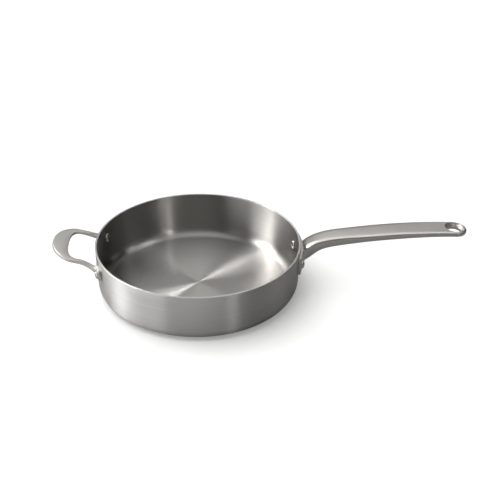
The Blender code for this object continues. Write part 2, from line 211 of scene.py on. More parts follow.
class PanFinishes(bpy.types.PropertyGroup):
    """Colours and roughnesses of the steel."""

    wall_colour: colour("#CAC8C6", "Steel of the brushed outside")
    wall_roughness: amount(0.34)
    # The inside's steel is darker than the outside's: painted shade, which deepens the shade inside the pan
    inside_colour_and_shade: colour("#ADABA8")
    inside_roughness: amount(0.31)
    rim_roughness: amount(0.4)
    cast_colour: colour("#C2BFBB")
    long_roughness: amount(0.3, "Satin long handle")
    helper_roughness: amount(0.34, "Tumbled helper handle")
    dish_roughness: amount(0.52, "Dish and hanging hole")
    bright_colour: colour("#CCCBC9", "Steel of the rivets and of the rim's edge")
    rivet_roughness: amount(0.2)


class StageSettings(bpy.types.PropertyGroup):
    """Floor, lights and camera."""

    floor_colour: colour("#F2F2F1")
    # Painted shade: the steel mirrors a darker copy of the floor than the camera sees
    floor_in_metal: colour("#9C9C9C", "Shade of the floor that the steel mirrors")
    # Painted light: a glow on the floor that only the steel mirrors
    painted_window_glow: amount(0.75, "Brightness of the window's glow on the floor that the steel mirrors")
    window_power: amount(2.3, "Broad soft light from high on the left")
    roof_power: amount(0.6, "Broad soft light overhead")
    fill_level: amount(0.05, "Even light from all round")
    floor_lift: amount(0.27, "White that the camera sees added to the floor")
    lens: amount(65.505, "Focal length in millimetres")


SIZE_GROUPS = {
    "pan_body_sizes": PanBodySizes,
    "long_handle_sizes": LongHandleSizes,
    "helper_handle_sizes": HelperHandleSizes,
    "rivet_sizes": RivetSizes,
    "pan_finishes": PanFinishes,
    "pan_stage": StageSettings,
}


# Modelling by hand, in code

def start(name):
    """Name the primitive that was just added, put its place in its mesh, and open it for editing."""
    obj = bpy.context.object
    obj.name = obj.data.name = name
    bpy.ops.object.transform_apply(location=True, rotation=True, scale=True)
    bpy.ops.object.mode_set(mode="EDIT")
    bpy.ops.mesh.select_all(action="SELECT")
    return obj


def deselect():
    """Select nothing, because a new primitive joins what is selected."""
    bpy.ops.object.select_all(action="DESELECT")


def turn(by, axis, about):
    """Turn what is selected by an angle. With no window, Blender's own rotate turns the other way."""
    bpy.ops.transform.rotate(value=-by, orient_axis=axis, orient_type="GLOBAL", center_override=about)


def choose(obj, kind, wanted):
    """In edit mode, select only the verts, edges or faces for which wanted(item) is true."""
    bpy.ops.mesh.select_mode(type=kind[:-1].upper())
    bpy.ops.mesh.select_all(action="DESELECT")
    shape = bmesh.from_edit_mesh(obj.data)
    for item in getattr(shape, kind):
        if wanted(item):
            item.select_set(True)
    shape.select_flush_mode()
    bmesh.update_edit_mesh(obj.data)


def creased(edge):
    """Whether two faces meet sharply at an edge."""
    return len(edge.link_faces) == 2 and edge.calc_face_angle(0) > CREASE_ANGLE


def finish_shape(obj, place=None):
    """Close the edit: merge doubles, point the faces outwards, and put the piece in its place."""
    bpy.ops.mesh.select_mode(type="VERT")
    bpy.ops.mesh.select_all(action="SELECT")
    bpy.ops.mesh.remove_doubles(threshold=1e-6)
    bpy.ops.mesh.normals_make_consistent(inside=False)
    bpy.ops.object.mode_set(mode="OBJECT")
    if place is not None:
        obj.matrix_world = place
        only(obj)
        bpy.ops.object.transform_apply(location=True, rotation=True, scale=True)
    return obj


def only(obj):
    """Make this the one selected and active object."""
    deselect()
    obj.select_set(True)
    bpy.context.view_layer.objects.active = obj


def turned(name, rows, segments, place=None):
    """Round piece: a filled circle whose face is extruded and resized through (radius, height) rows."""
    deselect()
    bpy.ops.mesh.primitive_circle_add(
        vertices=segments, radius=rows[0][0], fill_type="NGON", location=(0, 0, rows[0][1])
    )
    obj = start(name)
    for before, after in zip(rows, rows[1:]):
        bpy.ops.mesh.extrude_region_move(TRANSFORM_OT_translate={"value": (0, 0, after[1] - before[1])})
        share = after[0] / before[0]
        bpy.ops.transform.resize(value=(share, share, 1), center_override=(0, 0, after[1]))
    return finish_shape(obj, place)


def apply_modifier(obj, kind, **settings):
    """Add a modifier, set it, and apply it."""
    only(obj)
    modifier = obj.modifiers.new(kind.lower(), kind)
    for name, value in settings.items():
        setattr(modifier, name, value)
    bpy.ops.object.modifier_apply(modifier=modifier.name)


def carve(obj, operation, *others):
    """Join other objects to this one, or cut them away, and remove them."""
    for other in others:
        apply_modifier(obj, "BOOLEAN", operation=operation, solver="EXACT", object=other)
        bpy.data.objects.remove(other, do_unlink=True)


def arc(centre, radius, first, last, steps):
    """Points on an arc, both ends included."""
    return [
        (centre[0] + radius * math.cos(a), centre[1] + radius * math.sin(a))
        for a in (first + (last - first) * step / steps for step in range(steps + 1))
    ]


def smooth_step(share):
    """Ease from 0 to 1."""
    share = min(max(share, 0.0), 1.0)
    return share * share * (3 - 2 * share)


# Shapes of the real pan

def wall_radius(body, height):
    """Outer radius of the drafted wall at a height above the table."""
    return body.rim_diameter / 2 - (body.height - height) * math.tan(body.draft)


def on_wall(body, azimuth, height):
    """Frame on the outer face of the wall, with its X axis square to the wall and outwards."""
    place = Matrix.Translation((wall_radius(body, height), 0, height))
    return Matrix.Rotation(azimuth, 4, "Z") @ place @ Matrix.Rotation(body.draft, 4, "Y")


ALONG_X = Matrix.Rotation(math.pi / 2, 4, "Y")

# Rings of the flat base and floor, as shares of the radius where the corner starts, and the middle one
FLAT_RINGS = (0.85, 0.7, 0.55, 0.4, 0.25, 0.1)
MIDDLE_RADIUS = 0.004


def body_rows(body):
    """Section of the body from the middle of the base, over the rim, to the middle of the floor."""
    rim, wall = body.rim_diameter / 2, body.wall
    level_wall = wall / math.cos(body.draft)
    inner_rim = rim - level_wall
    drawn_in = (body.height - body.base_corner) * math.tan(body.draft)
    corner = (rim - drawn_in - body.base_corner / math.cos(body.draft), body.base_corner)
    edge, top = body.rim_rounding, body.height - body.rim_rounding
    down, side = -math.pi / 2, -body.draft
    radii = [corner[0] * share for share in FLAT_RINGS] + [MIDDLE_RADIUS]
    rise = (top - body.base_corner) / WALL_STEPS
    heights = [body.base_corner + rise * step for step in range(1, WALL_STEPS)]
    rows = [(radius, 0.0) for radius in reversed(radii)]
    rows += arc(corner, body.base_corner, down, side, CORNER_STEPS)
    rows += [(wall_radius(body, height), height) for height in heights]
    rows += arc((rim - edge, top), edge, 0, math.pi / 2, EDGE_STEPS)
    rows += arc((inner_rim + edge, top), edge, math.pi / 2, math.pi, EDGE_STEPS)
    rows += [(wall_radius(body, height) - level_wall, height) for height in reversed(heights)]
    rows += arc(corner, body.base_corner - wall, side, down, CORNER_STEPS)
    return rows + [(radius, wall) for radius in radii]


def rivet_places(scene):
    """(node, azimuth, height, plate) of the four rivets."""
    body, long, helper = scene.pan_body_sizes, scene.long_handle_sizes, scene.helper_handle_sizes
    places = []
    for sizes, plate, facing, name in (
        (long, long.flange_thickness, 0.0, "long_handle_rivet"),
        (helper, helper.foot_thickness, math.pi, "helper_handle_rivet"),
    ):
        height = body.height - sizes.rivets_below_rim
        swing = sizes.rivet_spread / 2 / wall_radius(body, height)
        front = facing + swing * (1 if facing else -1)
        places.append((f"{name}_front", front, height, plate))
        places.append((f"{name}_back", 2 * facing - front, height, plate))
    return places


def shank_cutters(scene, wanted):
    """Shank holes with a spot face for the outer head, for the rivets whose node starts with wanted."""
    rivets = scene.rivet_sizes
    shank = rivets.shank / 2 + SHANK_CLEARANCE
    head = rivets.outer_head / 2 + HEAD_CLEARANCE
    cutters = []
    for node, azimuth, height, plate in rivet_places(scene):
        if node.startswith(wanted):
            face = SEAT_GAP + plate + SPOT_FACE_LIFT
            rows = [(shank, -CUTTER_IN), (shank, face), (head, face), (head, face + CUTTER_OUT)]
            place = on_wall(scene.pan_body_sizes, azimuth, height) @ ALONG_X
            cutters.append(turned(f"{node}_hole", rows, RIVET_SEGMENTS, place))
    return cutters


def seat_form(scene):
    """The outside of the wall grown by the seat gap, which shapes the backs of both handles."""
    body = scene.pan_body_sizes
    gap = SEAT_GAP / math.cos(body.draft)
    low, high = -body.height, 2 * body.height
    rows = [(wall_radius(body, low) + gap, low), (wall_radius(body, high) + gap, high)]
    return turned("seat_form", rows, SEAT_SEGMENTS)


# The centreline starts at this share of the flange's thickness. Its two curves have handles this long, in
# metres, and this many points
ROOT_IN_FLANGE = 1 / 3
ROOT_PULL, NECK_PULL, GRIP_PULL, TIP_PULL = 0.020, 0.026, 0.060, 0.050
NECK_POINTS, GRIP_POINTS = 60, 120


def handle_path(body, handle):
    """Centreline of the long handle in side view, as (distance, x, z, angle) rows close together."""
    height = body.height - handle.rivets_below_rim + handle.root_above
    inside = SEAT_GAP + handle.flange_thickness * ROOT_IN_FLANGE
    root = Vector((wall_radius(body, height) + inside, 0, height))
    neck = root + Vector((handle.neck_run, 0, handle.neck_rise))
    tip = neck + Vector((handle.grip_run, 0, handle.grip_rise))

    def heading(bearing, pull):
        return Vector((math.cos(bearing) * pull, 0, math.sin(bearing) * pull))

    leave, enter = heading(handle.root_angle, ROOT_PULL), heading(handle.neck_angle, NECK_PULL)
    points = interpolate_bezier(root, root + leave, neck - enter, neck, NECK_POINTS)
    leave, enter = heading(handle.neck_angle, GRIP_PULL), heading(handle.tip_angle, TIP_PULL)
    points += interpolate_bezier(neck, neck + leave, tip - enter, tip, GRIP_POINTS)[1:]
    rows, distance = [], 0.0
    for before, after in zip(points, points[1:]):
        step = after - before
        rows.append((distance, before.x, before.z, math.atan2(step.z, step.x)))
        distance += step.length
    rows.append((distance, points[-1].x, points[-1].z, handle.tip_angle))
    return rows


def along_path(rows, distance):
    """Point and angle of the path at a distance from its start."""
    for before, after in zip(rows, rows[1:]):
        if distance <= after[0]:
            share = (distance - before[0]) / (after[0] - before[0])
            return [a + (b - a) * share for a, b in zip(before[1:], after[1:])]
    return list(rows[-1][1:])


# Share of the depth above the centreline, and how square the section is above it, below it and at the tip
CROWN_SHARE = 0.40
CROWN_SQUARENESS, BELLY_SQUARENESS, TIP_SQUARENESS = 4.0, 3.0, 3.5
# The section is upright at the flange and square to the path from this distance on
UPRIGHT_ROOT = 0.020
# Length of the fillet along the path, and how much deeper it makes the neck, in fillet radii
FILLET_LENGTH, FILLET_DEPTH = 1.4, 1.4


def handle_size(handle, distance, whole):
    """Width and depth of the long handle at a distance from the flange, with the fillet at its root."""
    stations = [
        (0.0, handle.root_width, handle.root_depth),
        (handle.waist_at, handle.waist_width, handle.waist_depth),
        (handle.grip_at, handle.grip_width, handle.grip_depth),
        (whole - handle.tip_width / 2, handle.tip_width, handle.tip_depth),
    ]
    width, depth = stations[-1][1:]
    for before, after in zip(stations, stations[1:]):
        if before[0] <= distance < after[0]:
            share = smooth_step((distance - before[0]) / (after[0] - before[0]))
            width = before[1] + (after[1] - before[1]) * share
            depth = before[2] + (after[2] - before[2]) * share
            break
    front = handle.flange_thickness * (1 - ROOT_IN_FLANGE) / math.cos(handle.root_angle)
    reach = min(1.0, max(0.0, (distance - front) / (handle.fillet * FILLET_LENGTH)))
    flare = handle.fillet * (1 - math.sqrt(1 - (1 - reach) ** 2))
    return width + 2 * flare, depth + FILLET_DEPTH * flare


# Distance between the first sections of the neck, in its fillet, and how far round the tip the last one is
ROOT_STEP = 0.0008
TIP_END = math.radians(88.5)


def neck_and_grip(scene):
    """Neck and grip: a pebble-shaped section extruded along its path, and narrowed over the round tip."""
    body, handle = scene.pan_body_sizes, scene.long_handle_sizes
    rows = handle_path(body, handle)
    whole = rows[-1][0]
    tip_start = whole - handle.tip_width / 2
    distances = [ROOT_STEP * step for step in (*range(12), *range(12, 60, 2))]
    last = distances[-1]
    distances += [last + (tip_start - last) * step / 40 for step in range(1, 41)]
    stations = []
    for distance in distances:
        x, z, bearing = along_path(rows, distance)
        lean = bearing * smooth_step(distance / UPRIGHT_ROOT)
        stations.append((x, z, lean, *handle_size(handle, distance, whole)))
    for step in range(1, TIP_STEPS + 1):
        into = math.sin(TIP_END * step / TIP_STEPS)
        x, z, bearing = along_path(rows, tip_start + handle.tip_width / 2 * into)
        across = handle.tip_width * math.sqrt(1 - into**2)
        deep = handle.tip_depth * (1 - into**TIP_SQUARENESS) ** (1 / TIP_SQUARENESS)
        stations.append((x, z, bearing, across, deep))
    obj = pebble_section("long_handle_casting", stations[0])
    for before, after in zip(stations, stations[1:]):
        here = (after[0], 0, after[1])
        shift = (after[0] - before[0], 0, after[1] - before[1])
        bpy.ops.mesh.extrude_region_move(TRANSFORM_OT_translate={"value": shift})
        turn(before[2], "Y", here)
        bpy.ops.transform.resize(value=(1, after[3] / before[3], after[4] / before[4]), center_override=here)
        turn(-after[2], "Y", here)
    return finish_shape(obj)


def pebble_section(name, station):
    """Upright section at the root: a filled circle pushed out to a flatter crown and belly."""
    x, z, _, width, depth = station
    deselect()
    bpy.ops.mesh.primitive_circle_add(
        vertices=SECTION_CORNERS, radius=1, fill_type="NGON", rotation=(math.pi / 2, 0, math.pi / 2)
    )
    obj = start(name)
    shape = bmesh.from_edit_mesh(obj.data)
    for corner in shape.verts:
        across, up = corner.co.y, corner.co.z
        power = CROWN_SQUARENESS if up > 0 else BELLY_SQUARENESS
        share = CROWN_SHARE if up > 0 else 1 - CROWN_SHARE
        swell = [math.copysign(abs(value) ** (2 / power), value) for value in (across, up)]
        corner.co = (x, swell[0] * width / 2, z + swell[1] * depth * share)
    bmesh.update_edit_mesh(obj.data)
    return obj


def long_handle_flange(scene):
    """Saddle plate: an upright section spun round the pan's axis, with rounded corners and front edge."""
    body, handle = scene.pan_body_sizes, scene.long_handle_sizes
    middle = body.height - handle.rivets_below_rim
    height = middle + (handle.flange_above - handle.flange_below) / 2
    upright = (handle.flange_above + handle.flange_below) / math.cos(body.draft)
    thick = STOCK + SEAT_GAP + handle.flange_thickness
    swing = (handle.rivet_spread / 2 + handle.flange_margin) / wall_radius(body, middle)
    place = on_wall(body, -swing, height) @ Matrix.Translation((thick / 2 - STOCK, 0, 0))
    deselect()
    bpy.ops.mesh.primitive_plane_add(size=1)
    obj = bpy.context.object
    obj.matrix_world = place @ Matrix.Rotation(math.pi / 2, 4, "X") @ Matrix.Diagonal((thick, upright, 1, 1))
    start("long_handle_flange")
    bpy.ops.mesh.spin(steps=FLANGE_STEPS, angle=-2 * swing, center=(0, 0, 0), axis=(0, 0, 1))
    bpy.ops.mesh.select_all(action="SELECT")
    bpy.ops.mesh.normals_make_consistent(inside=False)
    halfway = SEAT_GAP + handle.flange_thickness / 2

    def at_end(edge):
        offsets = [abs(abs(math.atan2(corner.co.y, corner.co.x)) - swing) for corner in edge.verts]
        radii = [corner.co.xy.length for corner in edge.verts]
        return max(offsets) < 1e-4 and abs(radii[0] - radii[1]) > 0.8 * thick

    choose(obj, "edges", at_end)
    bpy.ops.mesh.bevel(offset=handle.flange_corner, segments=8, affect="EDGES", clamp_overlap=False)

    def on_front_rim(edge):
        gaps = [corner.co.xy.length - wall_radius(body, corner.co.z) for corner in edge.verts]
        return min(gaps) > halfway and creased(edge)

    choose(obj, "edges", on_front_rim)
    bpy.ops.mesh.bevel(offset=handle.flange_rounding, segments=4, affect="EDGES")
    return finish_shape(obj)


# How the dish's side curves outwards and upwards
DISH_OUT, DISH_UP = 0.85, 1.15


def hole_place(scene):
    """Frame of the hanging hole, on the handle's centreline and with its Z axis up through the hole."""
    handle = scene.long_handle_sizes
    rows = handle_path(scene.pan_body_sizes, handle)
    x, z, bearing = along_path(rows, rows[-1][0] - handle.tip_width / 2)
    return Matrix.Translation((x, 0, z)) @ Matrix.Rotation(-bearing, 4, "Y")


def tip_faces(handle):
    """Heights of the tip's upper and lower face above its centreline."""
    return handle.tip_depth * CROWN_SHARE, -handle.tip_depth * (1 - CROWN_SHARE)


def hanging_hole(scene):
    """Turned cutter for the hanging hole: a dish, a straight bore and a rounded lower edge."""
    handle = scene.long_handle_sizes
    top, bottom = tip_faces(handle)
    bore, dish, lip = handle.hole_diameter / 2, handle.dish_diameter / 2, handle.hole_lip
    rounding = ((2, -1.5), (1, -0.2), (0.3, 0.3), (0, 1))
    profile = [(bore + out * lip, bottom + up * lip) for out, up in rounding]
    throat = top - handle.dish_depth
    profile.append((bore, throat - 0.0006))
    for step in range(1, DISH_STEPS + 1):
        share = step / DISH_STEPS
        profile.append((bore + (dish - bore) * share**DISH_OUT, throat + handle.dish_depth * share**DISH_UP))
    flare = (dish - bore) / handle.dish_depth
    profile += [(dish + 0.0007, top + 0.0003), (dish + 0.0007 + flare * 0.009, top + 0.009)]
    return turned("hanging_hole", profile, HOLE_SEGMENTS, hole_place(scene))


# How square the rounded end of the grip hole is
HOLE_SQUARENESS = 2.8


def loop_stations(helper):
    """Half of the helper loop from the middle of its end to the wall, as (outer, inner, drop, swell) rows."""
    half, hole_half = helper.width / 2, helper.hole_width / 2
    outer_turn, inner_turn = helper.reach - helper.round_length, helper.hole_reach - helper.hole_round
    power = 2 / HOLE_SQUARENESS
    rows = []
    for step in range(LOOP_STEPS + 1):
        bearing = math.pi / 2 * step / LOOP_STEPS
        along, side = max(0.0, math.cos(bearing)), math.sin(bearing)
        outer = (outer_turn + helper.round_length * along, half * side)
        inner = (inner_turn + helper.hole_round * along**power, hole_half * side**power)
        rows.append((outer, inner, 0.0, 0.0))
    rows.append(((helper.bend_start, half), (helper.bend_start, hole_half), 0.0, 0.0))
    for step in range(1, LEG_STEPS + 1):
        share = step / LEG_STEPS
        out = helper.bend_start + (helper.bend_end - helper.bend_start) * share
        outer = (out, half + helper.splay_outside * share**2)
        inner = (out, hole_half + helper.splay_inside * share**2)
        rows.append((outer, inner, helper.drop * share**1.5, helper.swell * share**2))
    return rows


def helper_loop(scene):
    """D loop: a flat section extruded round one half of it, mirrored, bevelled and sloped."""
    body, helper = scene.pan_body_sizes, scene.helper_handle_sizes
    stations = []
    for outer, inner, drop, swell in loop_stations(helper):
        middle = [(a + b) / 2 for a, b in zip(outer, inner)]
        bearing = math.atan2(outer[1] - inner[1], outer[0] - inner[0])
        reference = (*middle, helper.depth / 2 - drop)
        stations.append((reference, bearing, math.dist(outer, inner), helper.depth + swell))
    first = stations[0]
    deselect()
    bpy.ops.mesh.primitive_plane_add(size=1)
    obj = bpy.context.object
    place = Matrix.Translation((first[0][0], 0, 0)) @ Matrix.Rotation(math.pi / 2, 4, "X")
    obj.matrix_world = place @ Matrix.Diagonal((first[2], first[3], 1, 1))
    start("helper_handle_casting")
    for before, after in zip(stations, stations[1:]):
        here = after[0]
        shift = tuple(b - a for a, b in zip(before[0], here))
        bpy.ops.mesh.extrude_region_move(TRANSFORM_OT_translate={"value": shift})
        turn(-before[1], "Z", here)
        bpy.ops.transform.resize(value=(after[2] / before[2], 1, after[3] / before[3]), center_override=here)
        turn(after[1], "Z", here)
    choose(obj, "faces", lambda face: abs(face.calc_center_median().y) < 1e-6 and abs(face.normal.y) > 0.9)
    bpy.ops.mesh.delete(type="ONLY_FACE")
    bpy.ops.object.mode_set(mode="OBJECT")
    apply_modifier(obj, "MIRROR", use_axis=(False, True, False), use_clip=True, merge_threshold=1e-5)
    bpy.ops.object.mode_set(mode="EDIT")
    bpy.ops.mesh.select_mode(type="EDGE")
    bpy.ops.mesh.select_all(action="SELECT")
    bpy.ops.mesh.normals_make_consistent(inside=False)
    choose(obj, "edges", creased)
    bpy.ops.mesh.bevel(offset=helper.edge_rounding, segments=3, affect="EDGES")
    height = body.height - helper.rivets_below_rim + helper.above_rivets
    place = Matrix.Rotation(math.pi, 4, "Z") @ Matrix.Translation((wall_radius(body, height), 0, height))
    return finish_shape(obj, place @ Matrix.Rotation(-helper.slope, 4, "Y"))


def helper_foot(scene, side):
    """Teardrop foot: a round plate whose side towards the leg is drawn out, with a rounded front edge."""
    body, helper = scene.pan_body_sizes, scene.helper_handle_sizes
    height = body.height - helper.rivets_below_rim
    swing = helper.rivet_spread / 2 / wall_radius(body, height)
    thick = STOCK + SEAT_GAP + helper.foot_thickness
    deselect()
    bpy.ops.mesh.primitive_cylinder_add(
        vertices=FOOT_SEGMENTS, radius=helper.foot_radius, depth=thick, location=(0, 0, thick / 2 - STOCK)
    )
    obj = start(f"helper_foot_{side}")
    towards = Vector((-helper.foot_neck_up, -side * helper.foot_neck_in, 0))
    bearing = towards.normalized()
    choose(obj, "verts", lambda corner: corner.co.dot(bearing) > 0.0005)
    share = helper.foot_neck / helper.foot_radius
    bpy.ops.transform.resize(value=(share, share, 1), center_override=(0, 0, 0))
    bpy.ops.transform.translate(value=towards)
    front = SEAT_GAP + helper.foot_thickness
    choose(obj, "edges", lambda edge: all(abs(corner.co.z - front) < 1e-6 for corner in edge.verts))
    bpy.ops.mesh.bevel(offset=helper.foot_rounding, segments=4, affect="EDGES")
    return finish_shape(obj, on_wall(body, math.pi + side * swing, height) @ ALONG_X)


# A dome is divided into this many steps, and ends just short of its middle, which is filled
DOME_STEPS = 9
DOME_END = math.radians(86)


def dome(radius, rise, edge, seat, side):
    """Domed top of a rivet head, from its edge towards its middle."""
    points = []
    for step in range(DOME_STEPS + 1):
        swing = DOME_END * step / DOME_STEPS
        points.append((radius * math.cos(swing), seat + side * (edge + (rise - edge) * math.sin(swing))))
    return points


def rivet_rows(scene, plate, height):
    """Section of a rivet from its inner head, through the wall and the plate, to its outer head."""
    body, rivets = scene.pan_body_sizes, scene.rivet_sizes
    inner, outer, shank = rivets.inner_head / 2, rivets.outer_head / 2, rivets.shank / 2
    inner_seat = -body.wall - SEAT_GAP - inner**2 / (2 * (wall_radius(body, height) - body.wall))
    outer_seat = SEAT_GAP + plate + SEAT_GAP
    rows = dome(inner, rivets.inner_rise, rivets.head_edge, inner_seat, -1)[::-1]
    rows += [(inner, inner_seat), (shank, inner_seat), (shank, outer_seat), (outer, outer_seat)]
    return rows + dome(outer, rivets.outer_rise, rivets.head_edge, outer_seat, 1)


# Finishes

def add_node(tree, kind, inputs=None, **settings):
    """Add a shader node, link the inputs that are sockets, set the others, and give back its outputs."""
    node = tree.nodes.new("ShaderNode" + kind)
    for name, value in settings.items():
        setattr(node, name, value)
    for key, value in (inputs or {}).items():
        if isinstance(value, bpy.types.NodeSocket):
            tree.links.new(value, node.inputs[key])
        else:
            node.inputs[key].default_value = value
    return node.outputs


def new_material(name):
    """A node material with its tree, its Principled shader and its object coordinates."""
    material = bpy.data.materials.new(name)
    material.use_nodes = True
    tree = material.node_tree
    place = add_node(tree, "TexCoord")["Object"]
    return material, tree, tree.nodes["Principled BSDF"], place


def as_metal(material, colour, shade, rough, bump):
    """Make a material bare metal, its colour made paler or darker by shade."""
    tree = material.node_tree
    tint = add_node(tree, "VectorMath", {0: (*colour,), "Scale": shade}, operation="SCALE")[0]
    shader = tree.nodes["Principled BSDF"]
    shader.inputs["Metallic"].default_value = 1.0
    for name, socket in (("Base Color", tint), ("Roughness", rough), ("Normal", bump)):
        tree.links.new(socket, shader.inputs[name])
    return material


# Range in which most values of a noise texture lie, as inputs of a Map Range node
NOISE_RANGE = {1: 0.25, 2: 0.75}
# Radius at which a groove has the length that is asked for
GROOVE_RADIUS = 0.13


def spun_steel(name, colour, roughness, anisotropy, pitch, arc_length, depth, contrast):
    """Steel brushed while it turns on a lathe, so its grain runs round the pan's axis.

    Its grooves draw highlights out into streaks, up the wall and out from the middle of the floor. pitch,
    arc_length and depth are their sizes in metres, and contrast is how much paler and darker they are.
    Real grooves are under 0.1 mm wide. They are drawn much wider, because finer ones wouldn't show.
    """
    material, tree, shader, place = new_material(name)
    parts = add_node(tree, "SeparateXYZ", {0: place})
    flat = add_node(tree, "CombineXYZ", {0: parts[0], 1: parts[1]})[0]
    radius = add_node(tree, "VectorMath", {0: flat}, operation="LENGTH")["Value"]
    out = add_node(tree, "VectorMath", {0: flat}, operation="NORMALIZE")[0]
    around = add_node(tree, "VectorMath", {0: (0, 0, 1), 1: out}, operation="CROSS_PRODUCT")[0]
    along = add_node(tree, "VectorMath", {0: out, "Scale": GROOVE_RADIUS / arc_length}, operation="SCALE")[0]
    travel = add_node(tree, "Math", {0: radius, 1: parts[2]}, operation="ADD")[0]
    across = add_node(tree, "Math", {0: travel, 1: 1 / pitch}, operation="MULTIPLY")[0]
    stacked = add_node(tree, "CombineXYZ", {2: across})[0]
    groove_place = add_node(tree, "VectorMath", {0: along, 1: stacked}, operation="ADD")[0]
    grooves = add_node(
        tree, "TexNoise", {"Vector": groove_place, "Scale": 1.0, "Detail": 3.0, "Roughness": 0.65}
    )[0]
    shades = {3: 0.99 - contrast, 4: 0.99 + contrast}
    shade = add_node(tree, "MapRange", {0: grooves, **NOISE_RANGE, **shades})[0]
    sheens = {3: roughness - 0.025, 4: roughness + 0.025}
    rough = add_node(tree, "MapRange", {0: grooves, **NOISE_RANGE, **sheens})[0]
    bump = add_node(tree, "Bump", {"Height": grooves, "Strength": 0.2, "Distance": depth})[0]
    tree.links.new(around, shader.inputs["Tangent"])
    shader.inputs["Anisotropic"].default_value = anisotropy
    # A quarter turn, so that highlights are drawn out across the grooves
    shader.inputs["Anisotropic Rotation"].default_value = 0.25
    return as_metal(material, colour, shade, rough, bump)


def satin_steel(name, colour, roughness, grain, depth, stretch=1):
    """Steel with fine marks and slightly uneven roughness, which give it a soft sheen.

    grain and depth are a mark's sizes in metres, and stretch is how many times longer it is along X.
    Real marks are under 0.1 mm wide. They are drawn wider, because finer ones wouldn't show.
    """
    material, tree, _, place = new_material(name)
    scaled = add_node(
        tree, "Mapping", {"Vector": place, "Scale": (1 / grain / stretch, 1 / grain, 1 / grain)}
    )[0]
    marks = add_node(tree, "TexNoise", {"Vector": scaled, "Scale": 1.0, "Detail": 4.0, "Roughness": 0.6})[0]
    clouds = add_node(tree, "TexNoise", {"Vector": place, "Scale": 70.0, "Detail": 2.0, "Roughness": 0.5})[0]
    shade = add_node(tree, "MapRange", {0: marks, **NOISE_RANGE, 3: 0.93, 4: 1.06})[0]
    sheens = {1: 0.3, 2: 0.7, 3: roughness - 0.03, 4: roughness + 0.03}
    uneven = add_node(tree, "MapRange", {0: clouds, **sheens})[0]
    rough = add_node(tree, "Math", {0: marks, 1: 0.08, 2: uneven}, operation="MULTIPLY_ADD")[0]
    bump = add_node(tree, "Bump", {"Height": marks, "Strength": 0.3, "Distance": depth})[0]
    return as_metal(material, colour, shade, rough, bump)


def wear(obj, *materials):
    """Give a piece its finishes, one for each material slot."""
    obj.data.materials.clear()
    for material in materials:
        obj.data.materials.append(material)


# The photograph shows no shadow of the handles on the floor, so they cast none
HANDLES_CAST_SHADOW = False
# Faces nearer than this to the tip's upper and lower face don't belong to the dish and the hole
BRIM = 0.00005


def belong(obj, node):
    """A fine piece is shaded smooth, rides on the pan and stands for its CAD node."""
    only(obj)
    bpy.ops.object.shade_smooth_by_angle(angle=SMOOTH_ANGLE)
    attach(obj, "root")
    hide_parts(node)


class SAUTEPAN_OT_body(bpy.types.Operator):
    """Build the drawn pan body with its brushed finishes"""

    bl_idname = "saute_pan.body"
    bl_label = "Pan Body"

    def execute(self, context):
        scene = context.scene
        body, finishes = scene.pan_body_sizes, scene.pan_finishes
        obj = turned("pan_body_spun", body_rows(body), BODY_SEGMENTS)
        carve(obj, "DIFFERENCE", *shank_cutters(scene, ""))
        # Brushed more strongly outside: a soft sheen with a grain that shows
        outside = spun_steel(
            "brushed_outer_wall", finishes.wall_colour, finishes.wall_roughness,
            anisotropy=1.0, pitch=0.0013, arc_length=0.15, depth=0.000005, contrast=0.095,
        )
        # Brushed more lightly inside, with longer grooves: clear streaks and hardly any grain. Its colour is
        # darker than the outside's, which is painted shade inside the pan
        inside = spun_steel(
            "brushed_inside", finishes.inside_colour_and_shade, finishes.inside_roughness,
            anisotropy=1.0, pitch=0.0012, arc_length=0.25, depth=0.000003, contrast=0.06,
        )
        # The rim's edge is ground after the body is trimmed: a thin pale line all round
        rim = spun_steel(
            "ground_rim_edge", finishes.bright_colour, finishes.rim_roughness,
            anisotropy=0.5, pitch=0.0004, arc_length=0.05, depth=0.000002, contrast=0.06,
        )
        wear(obj, outside, inside, rim)
        edge = body.height - body.rim_rounding * 1.01
        for face in obj.data.polygons:
            middle = face.center
            out = Vector((middle.x, middle.y, 0)).normalized()
            if middle.z > edge:
                face.material_index = 2
            elif face.normal.dot(out) < -0.01 or (face.normal.z > 0.5 and middle.z < body.height / 2):
                face.material_index = 1
        belong(obj, "pan_body")
        return {"FINISHED"}


class SAUTEPAN_OT_long_handle(bpy.types.Operator):
    """Build the cast long handle with its flange and its hanging hole"""

    bl_idname = "saute_pan.long_handle"
    bl_label = "Long Handle"

    def execute(self, context):
        scene = context.scene
        finishes = scene.pan_finishes
        obj = neck_and_grip(scene)
        carve(obj, "UNION", long_handle_flange(scene))
        carve(obj, "DIFFERENCE", seat_form(scene), hanging_hole(scene), *shank_cutters(scene, "long"))
        # Finished on a belt along the handle, so the marks are long and the sheen is even
        satin = satin_steel(
            "satin_cast_steel", finishes.cast_colour, finishes.long_roughness,
            grain=0.0006, depth=0.00002, stretch=12,
        )
        # The belt doesn't reach into the dish, which stays duller than the grip round it
        as_cast = satin_steel(
            "as_cast_steel", finishes.cast_colour, finishes.dish_roughness, grain=0.0006, depth=0.00002
        )
        wear(obj, satin, as_cast)
        upright = hole_place(scene).inverted()
        top, bottom = tip_faces(scene.long_handle_sizes)
        dish = scene.long_handle_sizes.dish_diameter / 2
        for face in obj.data.polygons:
            spot = upright @ face.center
            if spot.xy.length < dish + 0.0002 and bottom + BRIM < spot.z < top - BRIM:
                face.material_index = 1
        obj.visible_shadow = HANDLES_CAST_SHADOW
        belong(obj, "long_handle")
        return {"FINISHED"}


